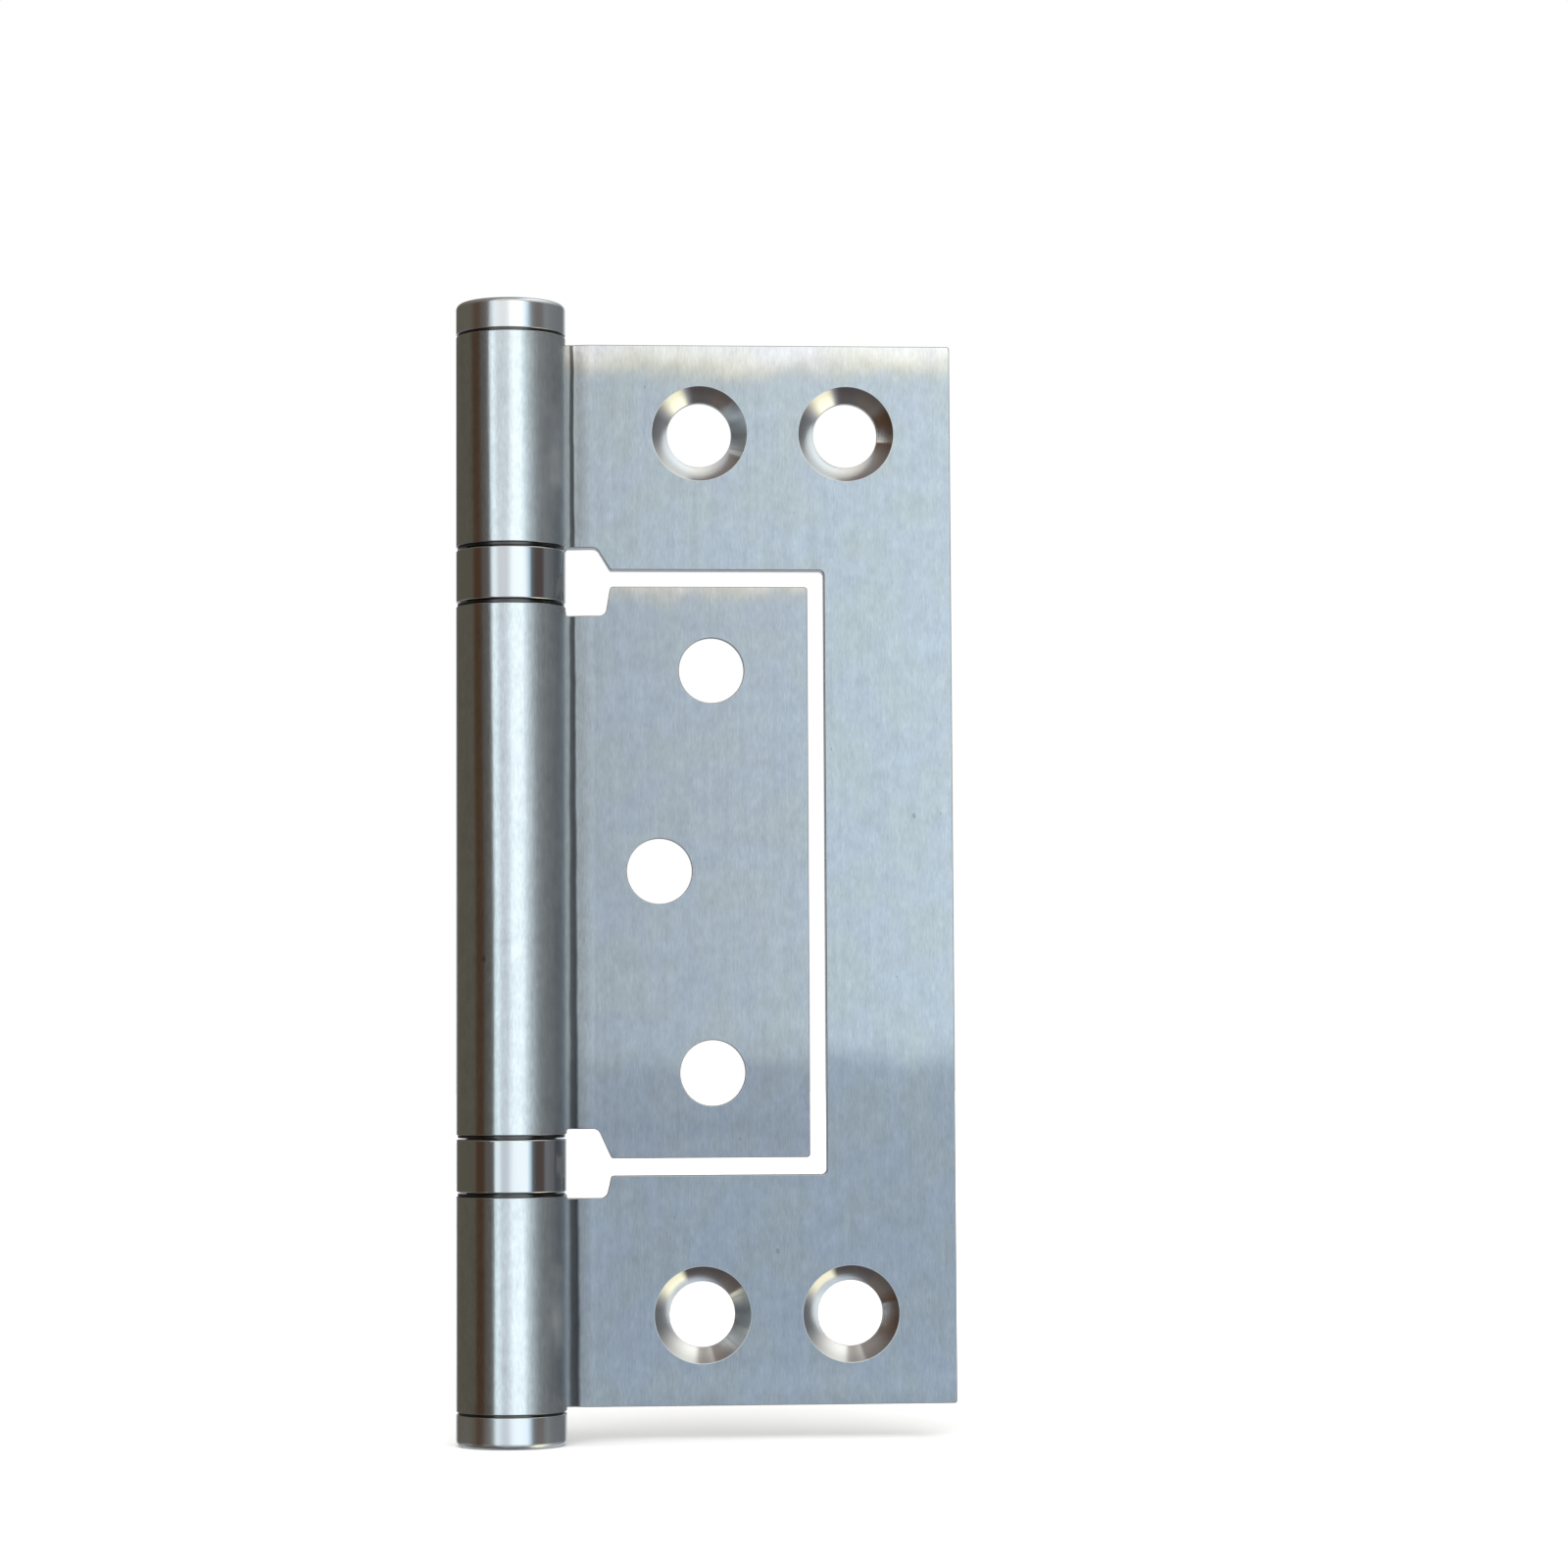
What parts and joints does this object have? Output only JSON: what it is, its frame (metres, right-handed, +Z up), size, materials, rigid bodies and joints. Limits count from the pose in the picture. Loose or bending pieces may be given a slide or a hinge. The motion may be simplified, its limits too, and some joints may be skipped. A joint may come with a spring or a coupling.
{
  "type": "interfold hinge",
  "caption": "Flush stainless butt hinge whose small leaf folds into a window in the large leaf, with rolled knuckles, a plain pin, pressed caps and a ball thrust bearing between knuckles.",
  "frame": {"origin": "on the pin axis, at the flat end face of the bottom cap", "axes": "+Z up the pin axis, +X from the pin to the free edges of the closed leaves, +Y to the back of the leaves, the side that lies on the door frame"},
  "size_m": [0.0595, 0.013, 0.135],
  "materials": {
    "leaf": "satin, brushed along the pin's direction",
    "pin_and_caps": "fine satin",
    "bearing_shell": "polished",
    "race": "ground and hardened",
    "ball": "bright polished"
  },
  "bodies": {
    "frame_side": {"outer_leaf": "leaf", "hinge_pin": "pin_and_caps", "top_cap": "pin_and_caps", "bottom_cap": "pin_and_caps", "lower_bearing_shell": "bearing_shell", "upper_bearing_shell": "bearing_shell", "lower_bearing_end_race": "race", "upper_bearing_end_race": "race"},
    "door_side": {"inner_leaf": "leaf", "lower_bearing_middle_race": "race", "upper_bearing_middle_race": "race"},
    "upper_ball_ring": {"upper_ball_01": "ball", "upper_ball_02": "ball", "upper_ball_03": "ball", "upper_ball_04": "ball", "upper_ball_05": "ball", "upper_ball_06": "ball", "upper_ball_07": "ball", "upper_ball_08": "ball", "upper_ball_09": "ball", "upper_ball_10": "ball", "upper_ball_11": "ball", "upper_ball_12": "ball", "upper_ball_13": "ball", "upper_ball_14": "ball", "upper_ball_15": "ball", "upper_ball_16": "ball", "upper_ball_17": "ball", "upper_ball_18": "ball"},
    "lower_ball_ring": {"lower_ball_01": "ball", "lower_ball_02": "ball", "lower_ball_03": "ball", "lower_ball_04": "ball", "lower_ball_05": "ball", "lower_ball_06": "ball", "lower_ball_07": "ball", "lower_ball_08": "ball", "lower_ball_09": "ball", "lower_ball_10": "ball", "lower_ball_11": "ball", "lower_ball_12": "ball", "lower_ball_13": "ball", "lower_ball_14": "ball", "lower_ball_15": "ball", "lower_ball_16": "ball", "lower_ball_17": "ball", "lower_ball_18": "ball"}
  },
  "joints": [
    {"name": "leaf_swing", "type": "hinge", "parent": "frame_side", "child": "door_side", "pos_m": [0, 0, 0.0675], "axis": [0, 0, -1], "continuous": true},
    {"name": "upper_ball_roll", "type": "hinge", "parent": "frame_side", "child": "upper_ball_ring", "pos_m": [0, 0, 0.1023], "axis": [0, 0, -1], "continuous": true},
    {"name": "lower_ball_roll", "type": "hinge", "parent": "frame_side", "child": "lower_ball_ring", "pos_m": [0, 0, 0.0327], "axis": [0, 0, -1], "continuous": true}
  ],
  "couplings": [
    {"joint": "upper_ball_roll", "follows": "leaf_swing", "ratio": 0.5},
    {"joint": "lower_ball_roll", "follows": "leaf_swing", "ratio": 0.5}
  ]
}
